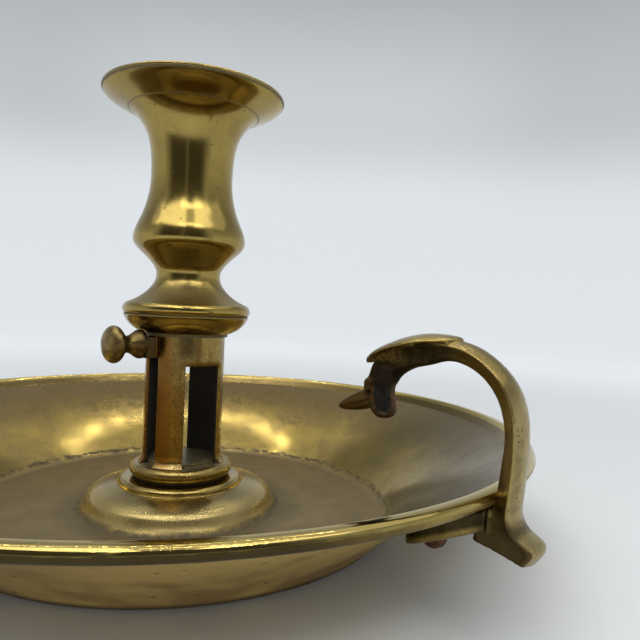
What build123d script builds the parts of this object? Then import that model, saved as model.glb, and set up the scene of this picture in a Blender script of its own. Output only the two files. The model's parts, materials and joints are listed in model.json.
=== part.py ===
from build123d import *
from math import atan2, cos, degrees, hypot, radians, sin
import os

# Chamberstick with finger loop, in millimetres, +Z up.
# The origin is the centre of the base, on the surface it stands on, and the finger loop lies along +X.

# Shared clearances
seat_gap = 0.08            # between turned pieces that sit on or in each other
slide_gap = 0.3            # round the ejector, over its whole travel
overrun = 4.0              # how far a cut runs past what it cuts

# Drip pan
pan_radius = 104.5         # outside of the rim bead
pan_height = 29.6          # top of the rim bead
pan_base_radius = 64.5     # outer edge of the flat base
pan_sheet = 1.4            # thickness of the metal
pan_wall_bow = 2.2         # how far the wall bows up above a straight cone
pan_floor_fillet = 2.2
bead_height = 3.0
bead_width = 4.0
bead_inner_fillet = 0.8
band_height = 0.3          # thin band under the bead
band_setback = 2.0

# Dome in the middle of the pan
dome_foot_radius = 31.0     # where the floor starts to rise
dome_height = 10.4
dome_side_height = 4.4     # where the dome's side is steepest
dome_side_inset = 2.8
dome_collar_radius = 18.9
dome_collar_height = 1.9
dome_collar_fillet = 1.0
dome_foot_heading = 174    # the outlines' headings are in degrees from level, outwards
dome_side_heading = 101
dome_top_heading = 171
dome_hollow_heading = -24
dome_hollow_foot_heading = -40

# Foot ring and its tenon, nut and washer
foot_neck_radius = 13.4
foot_neck_height = 1.0
foot_ring_radius = 15.6
foot_ring_height = 3.4
foot_ring_fillet = 1.6
foot_spigot_height = 1.0
tenon_radius = 4.9
tenon_end_height = 2.2     # how far the tenon's end stays above the base
nut_flats = 13.0
nut_height = 4.2
nut_chamfer = 0.5
washer_radius = 9.0
washer_thickness = 1.0

# Pierced stem
stem_radius = 12.0
stem_wall = 1.3
stem_flare = 1.3           # lip at the foot of the bars
stem_flare_height = 1.6
window_height = 30.4
slot_width = 6.2
side_window_angles = (-36, 26)     # degrees from the finger loop
back_window_angles = (135, 191)
knob_angle = -93

# Candle socket: heights are above the collar's underside
collar_underside = 53.8    # above the base
collar_radius = 19.5
collar_throat_radius = 12.8
collar_throat_height = 0.8
collar_bulge_radius = 16.9
collar_bulge_height = 3.0
collar_groove_radius = 19.1
collar_groove_height = 6.2
collar_groove_depth = 0.45
collar_groove_width = 0.6
collar_edge_height = 8.2
collar_shoulder_height = 10.05
collar_shoulder_inset = 1.5
neck_radius = 9.75
neck_height = 18.9
bulb_lip_radius = 12.9
bulb_lip_height = 24.0
bulb_radius = 17.1
bulb_height = 29.5
side_radius = 14.4         # where the bulb's side draws in fastest
side_height = 37.6
waist_radius = 12.4
waist_height = 49.0
throat_radius = 13.5       # where the waist starts to open
throat_height = 60.0
flare_radius = 19.6        # where the line is cut round the flared mouth
flare_height = 68.7
flare_step = 0.4
mouth_radius = 27.6
mouth_height = 73.5
mouth_edge = 0.9           # thickness of the mouth's edge
mouth_edge_inset = 0.35
shoulder_heading = 160
lip_heading = 46
side_heading = 110
throat_heading = 75
flare_heading = 31
rim_start_heading = 33
rim_heading = 50
funnel_heading = -153      # inside of the mouth, going down
funnel_foot_heading = -109
cup_radius = 10.8
cup_floor_height = 24.2
candle_radius = 11.0       # bore that takes the candle
candle_bore_top = 67.2
candle_bore_depth = 11.0
stem_socket_depth = 5.2    # how far the stem goes up into the collar

# Ejector
ejector_travel = 28.8
disc_thickness = 2.0
disc_chamfer = 0.4
rod_radius = 2.0
slider_height = 8.0
slider_wall = 1.6
slider_web = 1.6
slider_slit = 1.2
knob_height = 51.4         # knob's axis above the base, raised
knob_tang_radius = 1.2
# Places along the knob are measured from the stem's axis
bead_back_reach = 15.6
bead_edge_width = 0.9
bead_edge_radius = 4.3
bead_heading = 109
knob_neck_reach = 20.3
knob_neck_radius = 2.5
button_edge_reach = 24.2
button_edge_radius = 5.4
knob_reach = 27.0

# Finger loop, one casting
loop_reach = 34.4          # from the pan's rim in to the front of the bird's head
loop_height = 29.6         # from the rim's top up to the back of the loop's crest
loop_depth = 4.5           # thickness of the loop's bow
loop_width = 8.6           # width of the loop's back
loop_crown = 1.2           # how far its back is rounded
loop_inner_crown = 0.4
loop_side_hollow = 0.5     # how far its sides are hollowed, fading where the casting narrows
# A row is a section, from the tail up, over, and down to the bottom of the head: its inner edge as shares of
# the reach and height from the rim, its lean in degrees, and its depth, back width and inner width as shares.
loop_section_shares = [
    (-0.145, -0.365, -9, 2.80, 1.00, 0.66),
    (-0.130, -0.297, -4, 2.98, 1.02, 0.66),
    (-0.100, -0.213, -8, 2.02, 1.02, 0.63),
    (-0.050, -0.122, -10, 1.28, 1.00, 0.58),
    (-0.018, -0.020, 0, 1.06, 1.00, 0.53),
    (0.002, 0.166, 0, 1.00, 1.00, 0.51),
    (0.014, 0.365, 3, 0.93, 0.99, 0.49),
    (-0.009, 0.520, 26, 1.00, 0.97, 0.49),
    (-0.058, 0.645, 40, 1.00, 0.95, 0.49),
    (-0.142, 0.750, 56, 0.96, 0.93, 0.49),
    (-0.247, 0.814, 73, 1.00, 0.91, 0.50),
    (-0.369, 0.834, 90, 1.04, 0.86, 0.51),
    (-0.509, 0.791, 104, 1.27, 0.98, 0.58),
    (-0.616, 0.757, 116, 1.47, 1.09, 0.65),
    (-0.699, 0.710, 130, 1.53, 1.07, 0.65),
    (-0.753, 0.655, 146, 1.48, 0.79, 0.60),
    (-0.776, 0.591, 160, 1.53, 0.57, 0.53),
    (-0.778, 0.527, 170, 1.72, 0.49, 0.48),
    (-0.765, 0.463, 177, 1.60, 0.50, 0.47),
    (-0.762, 0.405, 181, 1.42, 0.47, 0.42),
    (-0.779, 0.361, 183, 1.02, 0.35, 0.33),
    (-0.811, 0.341, 184, 0.62, 0.21, 0.20),
]

# Thumb plate: a thin leaf bent over the neck
plate_length = 23.8
plate_width = 13.2
plate_thickness = 1.3
plate_rise = 6.3           # how much higher its rear end lies than its front
plate_bow = 3.0
plate_crown = 1.5          # how far its long edges bend down
plate_reach = 33.9         # front tip: in from the rim, and above it
plate_front_height = 23.5
plate_outline_shares = [(0.03, 0.17), (0.20, 0.38), (0.48, 0.50), (0.76, 0.42), (0.93, 0.27)]

# Beak
beak_length = 10.0
beak_droop = 19            # degrees below level
beak_root_height = 4.9
beak_root_width = 3.8
beak_tip_height = 1.6
beak_tip_width = 1.9
beak_reach = 33.0          # root: in from the rim, and above it
beak_rise = 14.4
beak_middle_share = 0.55
beak_middle_size_share = 0.80

# Riveting tongue under the pan wall
tongue_tip_thickness = 2.6
tongue_root_thickness = 4.4
tongue_width = 13.0
root_rivet_inset = 7.5     # in from the rim
root_rivet_depth = 2.6     # how deep it goes into the loop's root
tongue_length_share = 0.345    # from the root rivet to the tongue's end, of the wall's run
tongue_rivet_share = 0.345     # of that length, from the tongue's end
rivet_radius = 1.5
rivet_head_radius = 2.8
rivet_head_height = 2.3
rivet_head_fillet = 0.7

# Heights and places that follow
foot_ring_base = dome_height + foot_neck_height
stem_base = foot_ring_base + foot_ring_height
stem_top = collar_underside + stem_socket_depth
stem_bore = stem_radius - stem_wall
disc_radius = cup_radius - slide_gap
disc_base = collar_underside + cup_floor_height + slide_gap + ejector_travel
slider_radius = stem_bore - slide_gap
slider_base = knob_height - slider_height / 2
lug_top = collar_underside - slide_gap
lug_reach = bead_back_reach - seat_gap
wall_start = (pan_base_radius, 0)
wall_end = (pan_radius - band_setback, pan_height - bead_height - band_height)
tongue_length = tongue_length_share * (wall_end[0] - wall_start[0])
root_rivet_place = pan_radius - root_rivet_inset
tongue_end_place = root_rivet_place - tongue_length
tongue_rivet_place = tongue_end_place + tongue_rivet_share * tongue_length
knob_plane = Plane(
    origin=(0, 0, knob_height),
    x_dir=(0, 0, 1),
    z_dir=(cos(radians(knob_angle)), sin(radians(knob_angle)), 0),
)


def heading(angle):
    """Direction of an outline that runs at an angle, in degrees, from level."""
    return (cos(radians(angle)), sin(radians(angle)))


def bowed_arc_centre(start, end, bow):
    """Centre and radius of the arc from start to end that bows up and in by bow."""
    run, rise = end[0] - start[0], end[1] - start[1]
    chord = hypot(run, rise)
    radius = (chord * chord / 4 + bow * bow) / (2 * bow)
    back = (radius - bow) / chord
    return ((start[0] + end[0]) / 2 + rise * back, (start[1] + end[1]) / 2 - run * back), radius


upright = heading(90)
inwards = heading(180)
wall_centre, wall_arc_radius = bowed_arc_centre(wall_start, wall_end, pan_wall_bow)


def wall_normal(radius):
    """Direction, in radians, that points out of the wall's underside at a distance from the pan's axis."""
    across = wall_centre[0] - radius
    return atan2(-((wall_arc_radius**2 - across**2) ** 0.5), across)


def wall_point(radius, depth):
    """Point that lies depth outside the wall's underside, along its normal."""
    normal, reach = wall_normal(radius), wall_arc_radius - depth
    return (wall_centre[0] - reach * cos(normal), wall_centre[1] - reach * sin(normal))


def wall_arc(start_radius, end_radius, depth):
    """Arc parallel to the wall's underside, depth outside it."""
    places = (start_radius, (start_radius + end_radius) / 2, end_radius)
    return ThreePointArc(*[wall_point(radius, depth) for radius in places])


def dish_outline(grow):
    """Outline of the pan's wall, rim band and bead, with its outside grown by a clearance."""
    nose = bead_height / 2
    nose_radius = pan_radius - nose
    bead_inside = pan_radius - bead_width
    floor_start = (dome_foot_radius, pan_sheet)
    under = wall_arc(pan_base_radius, wall_end[0], grow)
    bead_under = pan_height - bead_height - grow
    Polyline(floor_start, (dome_foot_radius, (under @ 0).Y), under @ 0)
    Polyline(under @ 1, ((under @ 1).X, bead_under), (nose_radius, bead_under))
    ThreePointArc(
        (nose_radius, bead_under),
        (pan_radius + grow, pan_height - nose),
        (nose_radius, pan_height + grow),
    )
    Line((nose_radius, pan_height + grow), (bead_inside + bead_inner_fillet, pan_height + grow))
    inner_edge = RadiusArc(
        (bead_inside + bead_inner_fillet, pan_height + grow),
        (bead_inside, pan_height + grow - bead_inner_fillet),
        -bead_inner_fillet,
    )
    wall = wall_arc(bead_inside - bead_inner_fillet, pan_base_radius + pan_floor_fillet, -pan_sheet)
    Line(inner_edge @ 1, wall @ 0)
    floor_end = (pan_base_radius - pan_floor_fillet, pan_sheet)
    Spline(wall @ 1, floor_end, tangents=(wall % 1, inwards))
    Line(floor_end, floor_start)


def turned(sketch_outline, *sizes):
    """Solid turned about the stick's axis from an outline drawn in its half section."""
    with BuildPart() as blank:
        with BuildSketch(Plane.XZ):
            with BuildLine():
                sketch_outline(*sizes)
            make_face()
        revolve(axis=Axis.Z)
    return blank.part


def rivet_plane(radius, depth):
    """Plane square to the pan's wall, depth outside its underside, facing outwards."""
    place, normal = wall_point(radius, depth), wall_normal(radius)
    return Plane(origin=(place[0], 0, place[1]), x_dir=(0, 1, 0), z_dir=(cos(normal), 0, sin(normal)))


def dome_outline():
    """Outline of the raised hollow dome: its skin is one sheet thick."""
    side = (dome_foot_radius - dome_side_inset, dome_side_height)
    collar_base = (dome_collar_radius, dome_height - dome_collar_height)
    outer = Spline(
        (dome_foot_radius, pan_sheet), side, tangents=(heading(dome_foot_heading), heading(dome_side_heading))
    )
    top = Spline(side, collar_base, tangents=(heading(dome_side_heading), heading(dome_top_heading)))
    Polyline(top @ 1, (dome_collar_radius, dome_height), (tenon_radius + seat_gap, dome_height))
    inner_top = dome_height - pan_sheet - seat_gap
    hollow = (dome_collar_radius - pan_sheet, inner_top)
    Polyline((tenon_radius + seat_gap, dome_height), (tenon_radius + seat_gap, inner_top), hollow)
    inner_side = (side[0] - pan_sheet, side[1] - pan_sheet / 2)
    inner = Spline(
        hollow,
        inner_side,
        (dome_foot_radius - pan_sheet / 2, 0),
        tangents=(heading(dome_hollow_heading), heading(dome_hollow_foot_heading)),
    )
    floor_radius = dome_foot_radius + pan_sheet
    Polyline(inner @ 1, (floor_radius, 0), (floor_radius, pan_sheet), outer @ 0)


# The drip pan: flared wall and beaded rim, flat base, raised hollow dome with a collar
with BuildPart() as drip_pan:
    add(turned(dish_outline, 0))
    add(turned(dome_outline))
    collar_edge = drip_pan.edges().filter_by(GeomType.CIRCLE).filter_by_position(
        Axis.Z, dome_height, dome_height
    ).sort_by(SortBy.RADIUS)[-1]
    fillet(collar_edge, dome_collar_fillet)
    for rivet_place in (tongue_rivet_place, root_rivet_place):
        with BuildSketch(rivet_plane(rivet_place, 0)):
            Circle(rivet_radius + seat_gap)
        extrude(amount=overrun, both=True, mode=Mode.SUBTRACT)

# The foot ring: a rounded ring on a short neck, with a spigot for the stem and a tenon through the dome
with BuildPart() as stem_foot:
    with BuildSketch(Plane.XY.offset(tenon_end_height)):
        Circle(tenon_radius)
    extrude(amount=dome_height + seat_gap - tenon_end_height)
    with BuildSketch(Plane.XY.offset(dome_height + seat_gap)):
        Circle(foot_neck_radius)
    extrude(amount=foot_neck_height - seat_gap)
    with BuildSketch(Plane.XY.offset(foot_ring_base)):
        Circle(foot_ring_radius)
    extrude(amount=foot_ring_height)
    ring_edges = stem_foot.edges().filter_by(GeomType.CIRCLE).sort_by(SortBy.RADIUS)[-2:]
    fillet(ring_edges, foot_ring_fillet)
    with BuildSketch(Plane.XY.offset(stem_base)):
        Circle(stem_bore - seat_gap)
    extrude(amount=foot_spigot_height)

# The washer and nut that draw the tenon up under the dome
washer_top = dome_height - pan_sheet - seat_gap
with BuildPart() as stem_washer:
    with BuildSketch(Plane.XY.offset(washer_top - washer_thickness)):
        Circle(washer_radius)
        Circle(tenon_radius + seat_gap, mode=Mode.SUBTRACT)
    extrude(amount=washer_thickness)

nut_base = washer_top - washer_thickness - nut_height
with BuildPart() as stem_nut:
    with BuildSketch(Plane.XY.offset(nut_base)):
        RegularPolygon(nut_flats / 2, 6, major_radius=False)
    extrude(amount=nut_height)
    chamfer(stem_nut.edges().group_by(Axis.Z)[0], nut_chamfer)
    with BuildSketch(Plane.XY.offset(nut_base)):
        Circle(tenon_radius + seat_gap / 2)
    extrude(amount=nut_height, mode=Mode.SUBTRACT)


def window_outline(from_angle, to_angle):
    """Wedge from the stem's axis out past its wall."""
    reach = stem_radius + overrun
    corners = [tuple(reach * part for part in heading(angle)) for angle in (from_angle, to_angle)]
    Polygon((0, 0), *corners, align=None)


# The pierced stem: a tube cut through by two windows and the knob's slot, which leave three bars
with BuildPart() as stem_tube:
    with BuildSketch(Plane.XY.offset(stem_base)):
        Circle(stem_radius)
    extrude(amount=stem_top - stem_base)
    with BuildSketch(Plane.XZ):
        Polygon(
            (0, stem_base),
            (stem_radius + stem_flare, stem_base),
            (stem_radius, stem_base + stem_flare_height),
            (0, stem_base + stem_flare_height),
            align=None,
        )
    revolve(axis=Axis.Z)
    with BuildSketch(Plane.XY.offset(stem_base)):
        Circle(stem_bore)
    extrude(amount=stem_top - stem_base, mode=Mode.SUBTRACT)
    with BuildSketch(Plane.XY.offset(stem_base)):
        for window_angles in (side_window_angles, back_window_angles):
            window_outline(*window_angles)
    extrude(amount=window_height, mode=Mode.SUBTRACT)
    with BuildSketch(knob_plane):
        with Locations(((stem_base + collar_underside) / 2 - knob_height, 0)):
            Rectangle(collar_underside - stem_base, slot_width)
    extrude(amount=stem_radius + overrun, mode=Mode.SUBTRACT)


def socket_outline():
    """Outline of the turned socket: collar, neck, bulb, waist and flared mouth, and the cup inside."""
    base = collar_underside
    throat = (collar_throat_radius, base + collar_throat_height)
    groove_low = (collar_groove_radius, base + collar_groove_height)
    groove = (collar_groove_radius - collar_groove_depth, groove_low[1] + collar_groove_width / 2)
    groove_high = (collar_groove_radius, groove_low[1] + collar_groove_width)
    shoulder = (collar_radius - collar_shoulder_inset, base + collar_shoulder_height)
    neck = (neck_radius, base + neck_height)
    lip = (bulb_lip_radius, base + bulb_lip_height)
    bulb = (bulb_radius, base + bulb_height)
    side = (side_radius, base + side_height)
    waist = (waist_radius, base + waist_height)
    mouth_throat = (throat_radius, base + throat_height)
    flare = (flare_radius, base + flare_height)
    mouth = (mouth_radius, base + mouth_height)
    candle_top = (candle_radius, base + candle_bore_top)
    candle_low = base + candle_bore_top - candle_bore_depth
    cup_floor = base + cup_floor_height
    rod_hole = rod_radius + slide_gap
    stem_seat = stem_radius + seat_gap
    ceiling = stem_top + seat_gap

    Polyline((stem_seat, base), (collar_throat_radius, base), throat)
    ThreePointArc(throat, (collar_bulge_radius, base + collar_bulge_height), groove_low)
    Polyline(groove_low, groove, groove_high)
    ThreePointArc(groove_high, (collar_radius, base + collar_edge_height), shoulder)
    Spline(shoulder, neck, tangents=(heading(shoulder_heading), upright))
    Spline(neck, lip, tangents=(upright, heading(lip_heading)))
    Spline(lip, bulb, tangents=(heading(lip_heading), upright))
    Spline(bulb, side, tangents=(upright, heading(side_heading)))
    Spline(side, waist, tangents=(heading(side_heading), upright))
    Spline(waist, mouth_throat, tangents=(upright, heading(throat_heading)))
    Spline(mouth_throat, flare, tangents=(heading(throat_heading), heading(flare_heading)))
    step = Line(flare, (flare_radius + flare_step, flare[1]))
    Spline(step @ 1, mouth, tangents=(heading(rim_start_heading), heading(rim_heading)))
    edge = Line(mouth, (mouth_radius - mouth_edge_inset, mouth[1] + mouth_edge))
    Spline(edge @ 1, candle_top, tangents=(heading(funnel_heading), heading(funnel_foot_heading)))
    Polyline(
        candle_top,
        (candle_radius, candle_low),
        (cup_radius, candle_low),
        (cup_radius, cup_floor),
        (rod_hole, cup_floor),
        (rod_hole, ceiling),
        (stem_seat, ceiling),
        (stem_seat, base),
    )


# The candle socket, turned in one piece
with BuildPart() as candle_socket:
    add(turned(socket_outline))

# The ejector: a disc in the cup, a rod through the neck, a split sleeve in the stem with a lug that comes
# out through the slot, and a turned knob whose tang goes into the lug
with BuildPart() as ejector_disc:
    with BuildSketch(Plane.XY.offset(disc_base)):
        Circle(disc_radius)
    extrude(amount=disc_thickness)
    chamfer(ejector_disc.edges().group_by(Axis.Z)[-1], disc_chamfer)
    with BuildSketch(Plane.XY.offset(disc_base)):
        Circle(rod_radius + seat_gap)
    extrude(amount=disc_thickness, mode=Mode.SUBTRACT)

with BuildPart() as ejector_rod:
    with BuildSketch(Plane.XY.offset(slider_base)):
        Circle(rod_radius)
    extrude(amount=disc_base + disc_thickness - slider_base)

with BuildPart() as ejector_slider:
    with BuildSketch(Plane.XY.offset(slider_base)):
        Circle(slider_radius)
    extrude(amount=slider_height)
    with BuildSketch(Plane.XY.offset(slider_base + slider_web)):
        Circle(slider_radius - slider_wall)
    extrude(amount=slider_height - slider_web, mode=Mode.SUBTRACT)
    with BuildSketch(Plane.XY.offset(slider_base)):
        Circle(rod_radius + seat_gap)
    extrude(amount=slider_web, mode=Mode.SUBTRACT)
    with BuildSketch(knob_plane.offset(slider_radius - slider_wall)):
        with Locations(((slider_base + lug_top) / 2 - knob_height, 0)):
            Rectangle(lug_top - slider_base, slot_width - 2 * slide_gap)
    extrude(amount=lug_reach - slider_radius + slider_wall)
    with BuildSketch(knob_plane):
        Circle(knob_tang_radius + seat_gap)
    extrude(amount=lug_reach + overrun, mode=Mode.SUBTRACT)
    with BuildSketch(knob_plane):
        with Locations((slider_web, 0)):
            Rectangle(slider_height, slider_slit)
    extrude(amount=-slider_radius - overrun, mode=Mode.SUBTRACT)


def knob_outline():
    """Half outline of the knob, drawn along its axis: tang, bead, neck and domed button."""
    tang_start = slider_radius - slider_wall
    bead_edge_end = bead_back_reach + bead_edge_width
    neck = (knob_neck_radius, knob_neck_reach)
    button_edge = (button_edge_radius, button_edge_reach)
    Polyline(
        (0, tang_start),
        (knob_tang_radius, tang_start),
        (knob_tang_radius, bead_back_reach),
        (bead_edge_radius, bead_back_reach),
        (bead_edge_radius, bead_edge_end),
    )
    Spline((bead_edge_radius, bead_edge_end), neck, tangents=(heading(bead_heading), upright))
    Spline(neck, button_edge, tangents=(upright, upright))
    Spline(button_edge, (0, knob_reach), tangents=(upright, inwards))
    Line((0, knob_reach), (0, tang_start))


# Plane through the knob's axis: its local Y runs out along the knob
knob_section = Plane(origin=(0, 0, knob_height), x_dir=(0, 0, -1), z_dir=knob_plane.y_dir)
with BuildPart() as ejector_knob:
    with BuildSketch(knob_section):
        with BuildLine():
            knob_outline()
        make_face()
    revolve(axis=Axis(knob_section.origin, knob_section.y_dir))


def loop_section(across_share, up_share, lean, depth_share, back_share, inner_share):
    """One section of the loop: crowned back, two hollow sides that draw in, and a narrow inner face."""
    lean_dir = (cos(radians(lean)), 0, sin(radians(lean)))
    place = (pan_radius + across_share * loop_reach, 0, pan_height + up_share * loop_height)
    depth = depth_share * loop_depth
    back = back_share * loop_width / 2
    inner = inner_share * loop_width / 2
    waist = (back + inner) / 2 - loop_side_hollow * back_share**2
    waist_depth = (depth - loop_crown + loop_inner_crown) / 2
    with BuildSketch(Plane(origin=place, x_dir=lean_dir, z_dir=(-lean_dir[2], 0, lean_dir[0]))) as section:
        with BuildLine():
            ThreePointArc((depth - loop_crown, -back), (depth, 0), (depth - loop_crown, back))
            ThreePointArc((depth - loop_crown, back), (waist_depth, waist), (loop_inner_crown, inner))
            ThreePointArc((loop_inner_crown, inner), (0, 0), (loop_inner_crown, -inner))
            ThreePointArc((loop_inner_crown, -inner), (waist_depth, -waist), (depth - loop_crown, -back))
        make_face()
    return section.sketch


def thumb_plate():
    """Leaf-shaped plate: a strip bowed along the leaf and crowned across it, cut to the leaf's outline."""
    front = pan_radius - plate_reach
    low = pan_height + plate_front_height
    chord = hypot(plate_length, plate_rise)
    along = (plate_length / chord, 0, plate_rise / chord)
    upwards = (-plate_rise / chord, 0, plate_length / chord)
    crown_radius = (plate_width**2 / 4 + plate_crown**2) / (2 * plate_crown)
    leaf_plane = Plane(origin=(front, 0, low), x_dir=along, z_dir=upwards).offset(-crown_radius)
    with BuildPart() as plate:
        with BuildSketch(Plane(origin=leaf_plane.origin, x_dir=along, z_dir=Plane.XZ.z_dir)):
            with BuildLine():
                top = SagittaArc((0, crown_radius), (chord, crown_radius), plate_bow)
                under_radius = crown_radius - plate_thickness
                under = SagittaArc((0, under_radius), (chord, under_radius), plate_bow)
                Line(top @ 0, under @ 0)
                Line(top @ 1, under @ 1)
            make_face()
        revolve(axis=Axis(leaf_plane.origin, leaf_plane.x_dir))
        with BuildSketch(leaf_plane):
            with BuildLine():
                side = [(x * chord, y * plate_width) for x, y in plate_outline_shares]
                Spline((0, 0), *side, (chord, 0), tangents=(upright, heading(-90)))
                mirror(about=Plane.XZ)
            make_face()
        extrude(amount=crown_radius + plate_bow + overrun, mode=Mode.INTERSECT)
    return plate.part


def beak_section(share, height, width):
    """Oval section of the beak, a share of the way from its root to its tip."""
    droop = radians(beak_droop)
    axis_dir = (-cos(droop), 0, -sin(droop))
    along = share * beak_length
    place = (pan_radius - beak_reach + along * axis_dir[0], 0, pan_height + beak_rise + along * axis_dir[2])
    with BuildSketch(Plane(origin=place, x_dir=(0, 1, 0), z_dir=axis_dir)) as section:
        Ellipse(width / 2, height / 2)
    return section.sketch


def tongue_underside():
    """Two points of the straight underside: below the tongue's tip and below the root rivet."""
    places = ((tongue_end_place, tongue_tip_thickness), (root_rivet_place, tongue_root_thickness))
    return [Vector(*wall_point(place, thickness)) for place, thickness in places]


def tongue_seat():
    """Plane on the tongue's underside, where the tongue rivet's axis comes out, facing outwards."""
    tip, root = tongue_underside()
    along = (root - tip).normalized()
    start, inside = [Vector(*wall_point(tongue_rivet_place, depth)) for depth in (0, tongue_tip_thickness)]
    axis = (inside - start).normalized()
    place = start + axis * ((tip - start).cross(along).Z / axis.cross(along).Z)
    return Plane(origin=(place.X, 0, place.Y), x_dir=(0, 1, 0), z_dir=(along.Y, 0, -along.X))


def riveting_tongue():
    """Tongue under the wall: its top follows the wall, its underside is straight and its end round."""
    outer_radius = pan_radius - bead_height / 2
    round_centre = tongue_end_place + tongue_width / 2
    tip, root = tongue_underside()
    with BuildPart() as tongue:
        with BuildSketch(Plane.XZ):
            with BuildLine():
                top = wall_arc(tongue_end_place - overrun, outer_radius, -pan_sheet / 2)
                under = Line(tip * 2 - root, root * 2 - tip)
                Line(top @ 0, under @ 0)
                Line(top @ 1, under @ 1)
            make_face()
        extrude(amount=tongue_width / 2, both=True)
        with BuildSketch(Plane.XY):
            with Locations((round_centre, 0)):
                Circle(tongue_width / 2)
            with Locations(((round_centre + outer_radius) / 2, 0)):
                Rectangle(outer_radius - round_centre, tongue_width)
        extrude(amount=pan_height, mode=Mode.INTERSECT)
    return tongue.part


# The handle: finger loop, bird's head with its beak, thumb plate, tail and riveting tongue, cast in one
with BuildPart() as handle:
    loft([loop_section(*shares) for shares in loop_section_shares])
    loft([
        beak_section(0, beak_root_height, beak_root_width),
        beak_section(
            beak_middle_share,
            beak_root_height * beak_middle_size_share,
            beak_root_width * beak_middle_size_share,
        ),
        beak_section(1, beak_tip_height, beak_tip_width),
    ])
    add(thumb_plate())
    add(riveting_tongue())
    add(turned(dish_outline, seat_gap), mode=Mode.SUBTRACT)
    for rivet_place, hole_depth in (
        (tongue_rivet_place, tongue_root_thickness + overrun),
        (root_rivet_place, root_rivet_depth + seat_gap),
    ):
        with BuildSketch(rivet_plane(rivet_place, -pan_sheet)):
            Circle(rivet_radius + seat_gap)
        extrude(amount=pan_sheet + hole_depth, mode=Mode.SUBTRACT)


def rivet_head(seat):
    """Round-edged rivet head that stands on a plane."""
    with BuildPart() as head:
        with BuildSketch(seat):
            Circle(rivet_head_radius)
        extrude(amount=rivet_head_height)
        fillet(head.edges().filter_by(GeomType.CIRCLE).sort_by_distance(seat.origin)[-1], rivet_head_fillet)
    return head.part


# Two copper rivets: one goes through the tongue and is filed flush inside the pan, the other has a head there
# and goes into the loop's root
outer_seat = tongue_seat().offset(seat_gap)
with BuildPart() as handle_rivets:
    flush = rivet_plane(tongue_rivet_place, -pan_sheet)
    with BuildSketch(flush):
        Circle(rivet_radius)
    extrude(amount=(outer_seat.origin - flush.origin).length + rivet_head_height / 2)
    add(rivet_head(outer_seat))
    inner_seat = rivet_plane(root_rivet_place, -pan_sheet - seat_gap)
    with BuildSketch(inner_seat):
        Circle(rivet_radius)
    extrude(amount=pan_sheet + seat_gap + root_rivet_depth)
    add(rivet_head(Plane(origin=inner_seat.origin, x_dir=inner_seat.x_dir, z_dir=-inner_seat.z_dir)))

os.makedirs("parts", exist_ok=True)
for name, piece in (
    ("drip_pan", drip_pan),
    ("stem_foot", stem_foot),
    ("stem_washer", stem_washer),
    ("stem_nut", stem_nut),
    ("stem_tube", stem_tube),
    ("candle_socket", candle_socket),
    ("ejector_disc", ejector_disc),
    ("ejector_rod", ejector_rod),
    ("ejector_slider", ejector_slider),
    ("ejector_knob", ejector_knob),
    ("handle", handle),
    ("handle_rivets", handle_rivets),
):
    piece.part.label = name
    export_step(piece.part, f"parts/{name}.step")
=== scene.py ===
import json
import bpy
import numpy as np
from mathutils import Matrix, Vector


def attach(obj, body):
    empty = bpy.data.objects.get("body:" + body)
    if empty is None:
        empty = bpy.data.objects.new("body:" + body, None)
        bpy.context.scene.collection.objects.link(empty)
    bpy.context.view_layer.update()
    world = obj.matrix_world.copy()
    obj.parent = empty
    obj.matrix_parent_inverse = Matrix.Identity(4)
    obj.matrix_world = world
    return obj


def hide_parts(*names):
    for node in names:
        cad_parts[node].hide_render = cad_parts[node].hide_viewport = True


# An old brass chamberstick on a pale table. Sizes are in millimetres, +Z up the stem and +X out through the
# finger loop, with the origin in the middle of the base; MM takes them to Blender's metres.
MM = 0.001
ROOT, EJECTOR = "root", "ejector"

# The pan wall's underside is an arc in the pan's section: its centre, as radius and height, and its own radius.
wall_centre, wall_arc = np.array([151.89, -85.67]), 122.41

# The bird's eye and the middle and half sizes of its cheek's oval, as x and z
EYE, CHEEK, CHEEK_WIDE, CHEEK_TALL = (72.3, 45.4), (76.2, 44.6), 2.75, 3.8

# Headings, in degrees, of the camera's line and of the picture's right
CAMERA_AHEAD, CAMERA_RIGHT = -37, 53

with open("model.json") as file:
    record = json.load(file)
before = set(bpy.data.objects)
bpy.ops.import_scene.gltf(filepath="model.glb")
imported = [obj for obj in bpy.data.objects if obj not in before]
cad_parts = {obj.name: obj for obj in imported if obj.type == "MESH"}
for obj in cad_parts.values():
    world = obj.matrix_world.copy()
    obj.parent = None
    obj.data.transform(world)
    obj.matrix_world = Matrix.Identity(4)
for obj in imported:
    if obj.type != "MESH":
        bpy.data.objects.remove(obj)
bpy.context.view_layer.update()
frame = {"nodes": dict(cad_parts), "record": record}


# Curves and surfaces

def heading(degrees):
    """Unit direction in the outline's plane, from level."""
    return np.array([np.cos(np.radians(degrees)), np.sin(np.radians(degrees))])


def bend(start, end, start_heading, end_heading, steps=40):
    """Cubic from start to end: a Hermite blend whose two tangents are as long as the chord."""
    start, end = np.array(start, float), np.array(end, float)
    t = np.linspace(0, 1, steps)[:, None]
    reach = np.linalg.norm(end - start)
    leave, arrive = reach * heading(start_heading), reach * heading(end_heading)
    return (
        (2 * t**3 - 3 * t**2 + 1) * start
        + (t**3 - 2 * t**2 + t) * leave
        + (3 * t**2 - 2 * t**3) * end
        + (t**3 - t**2) * arrive
    )


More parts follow.
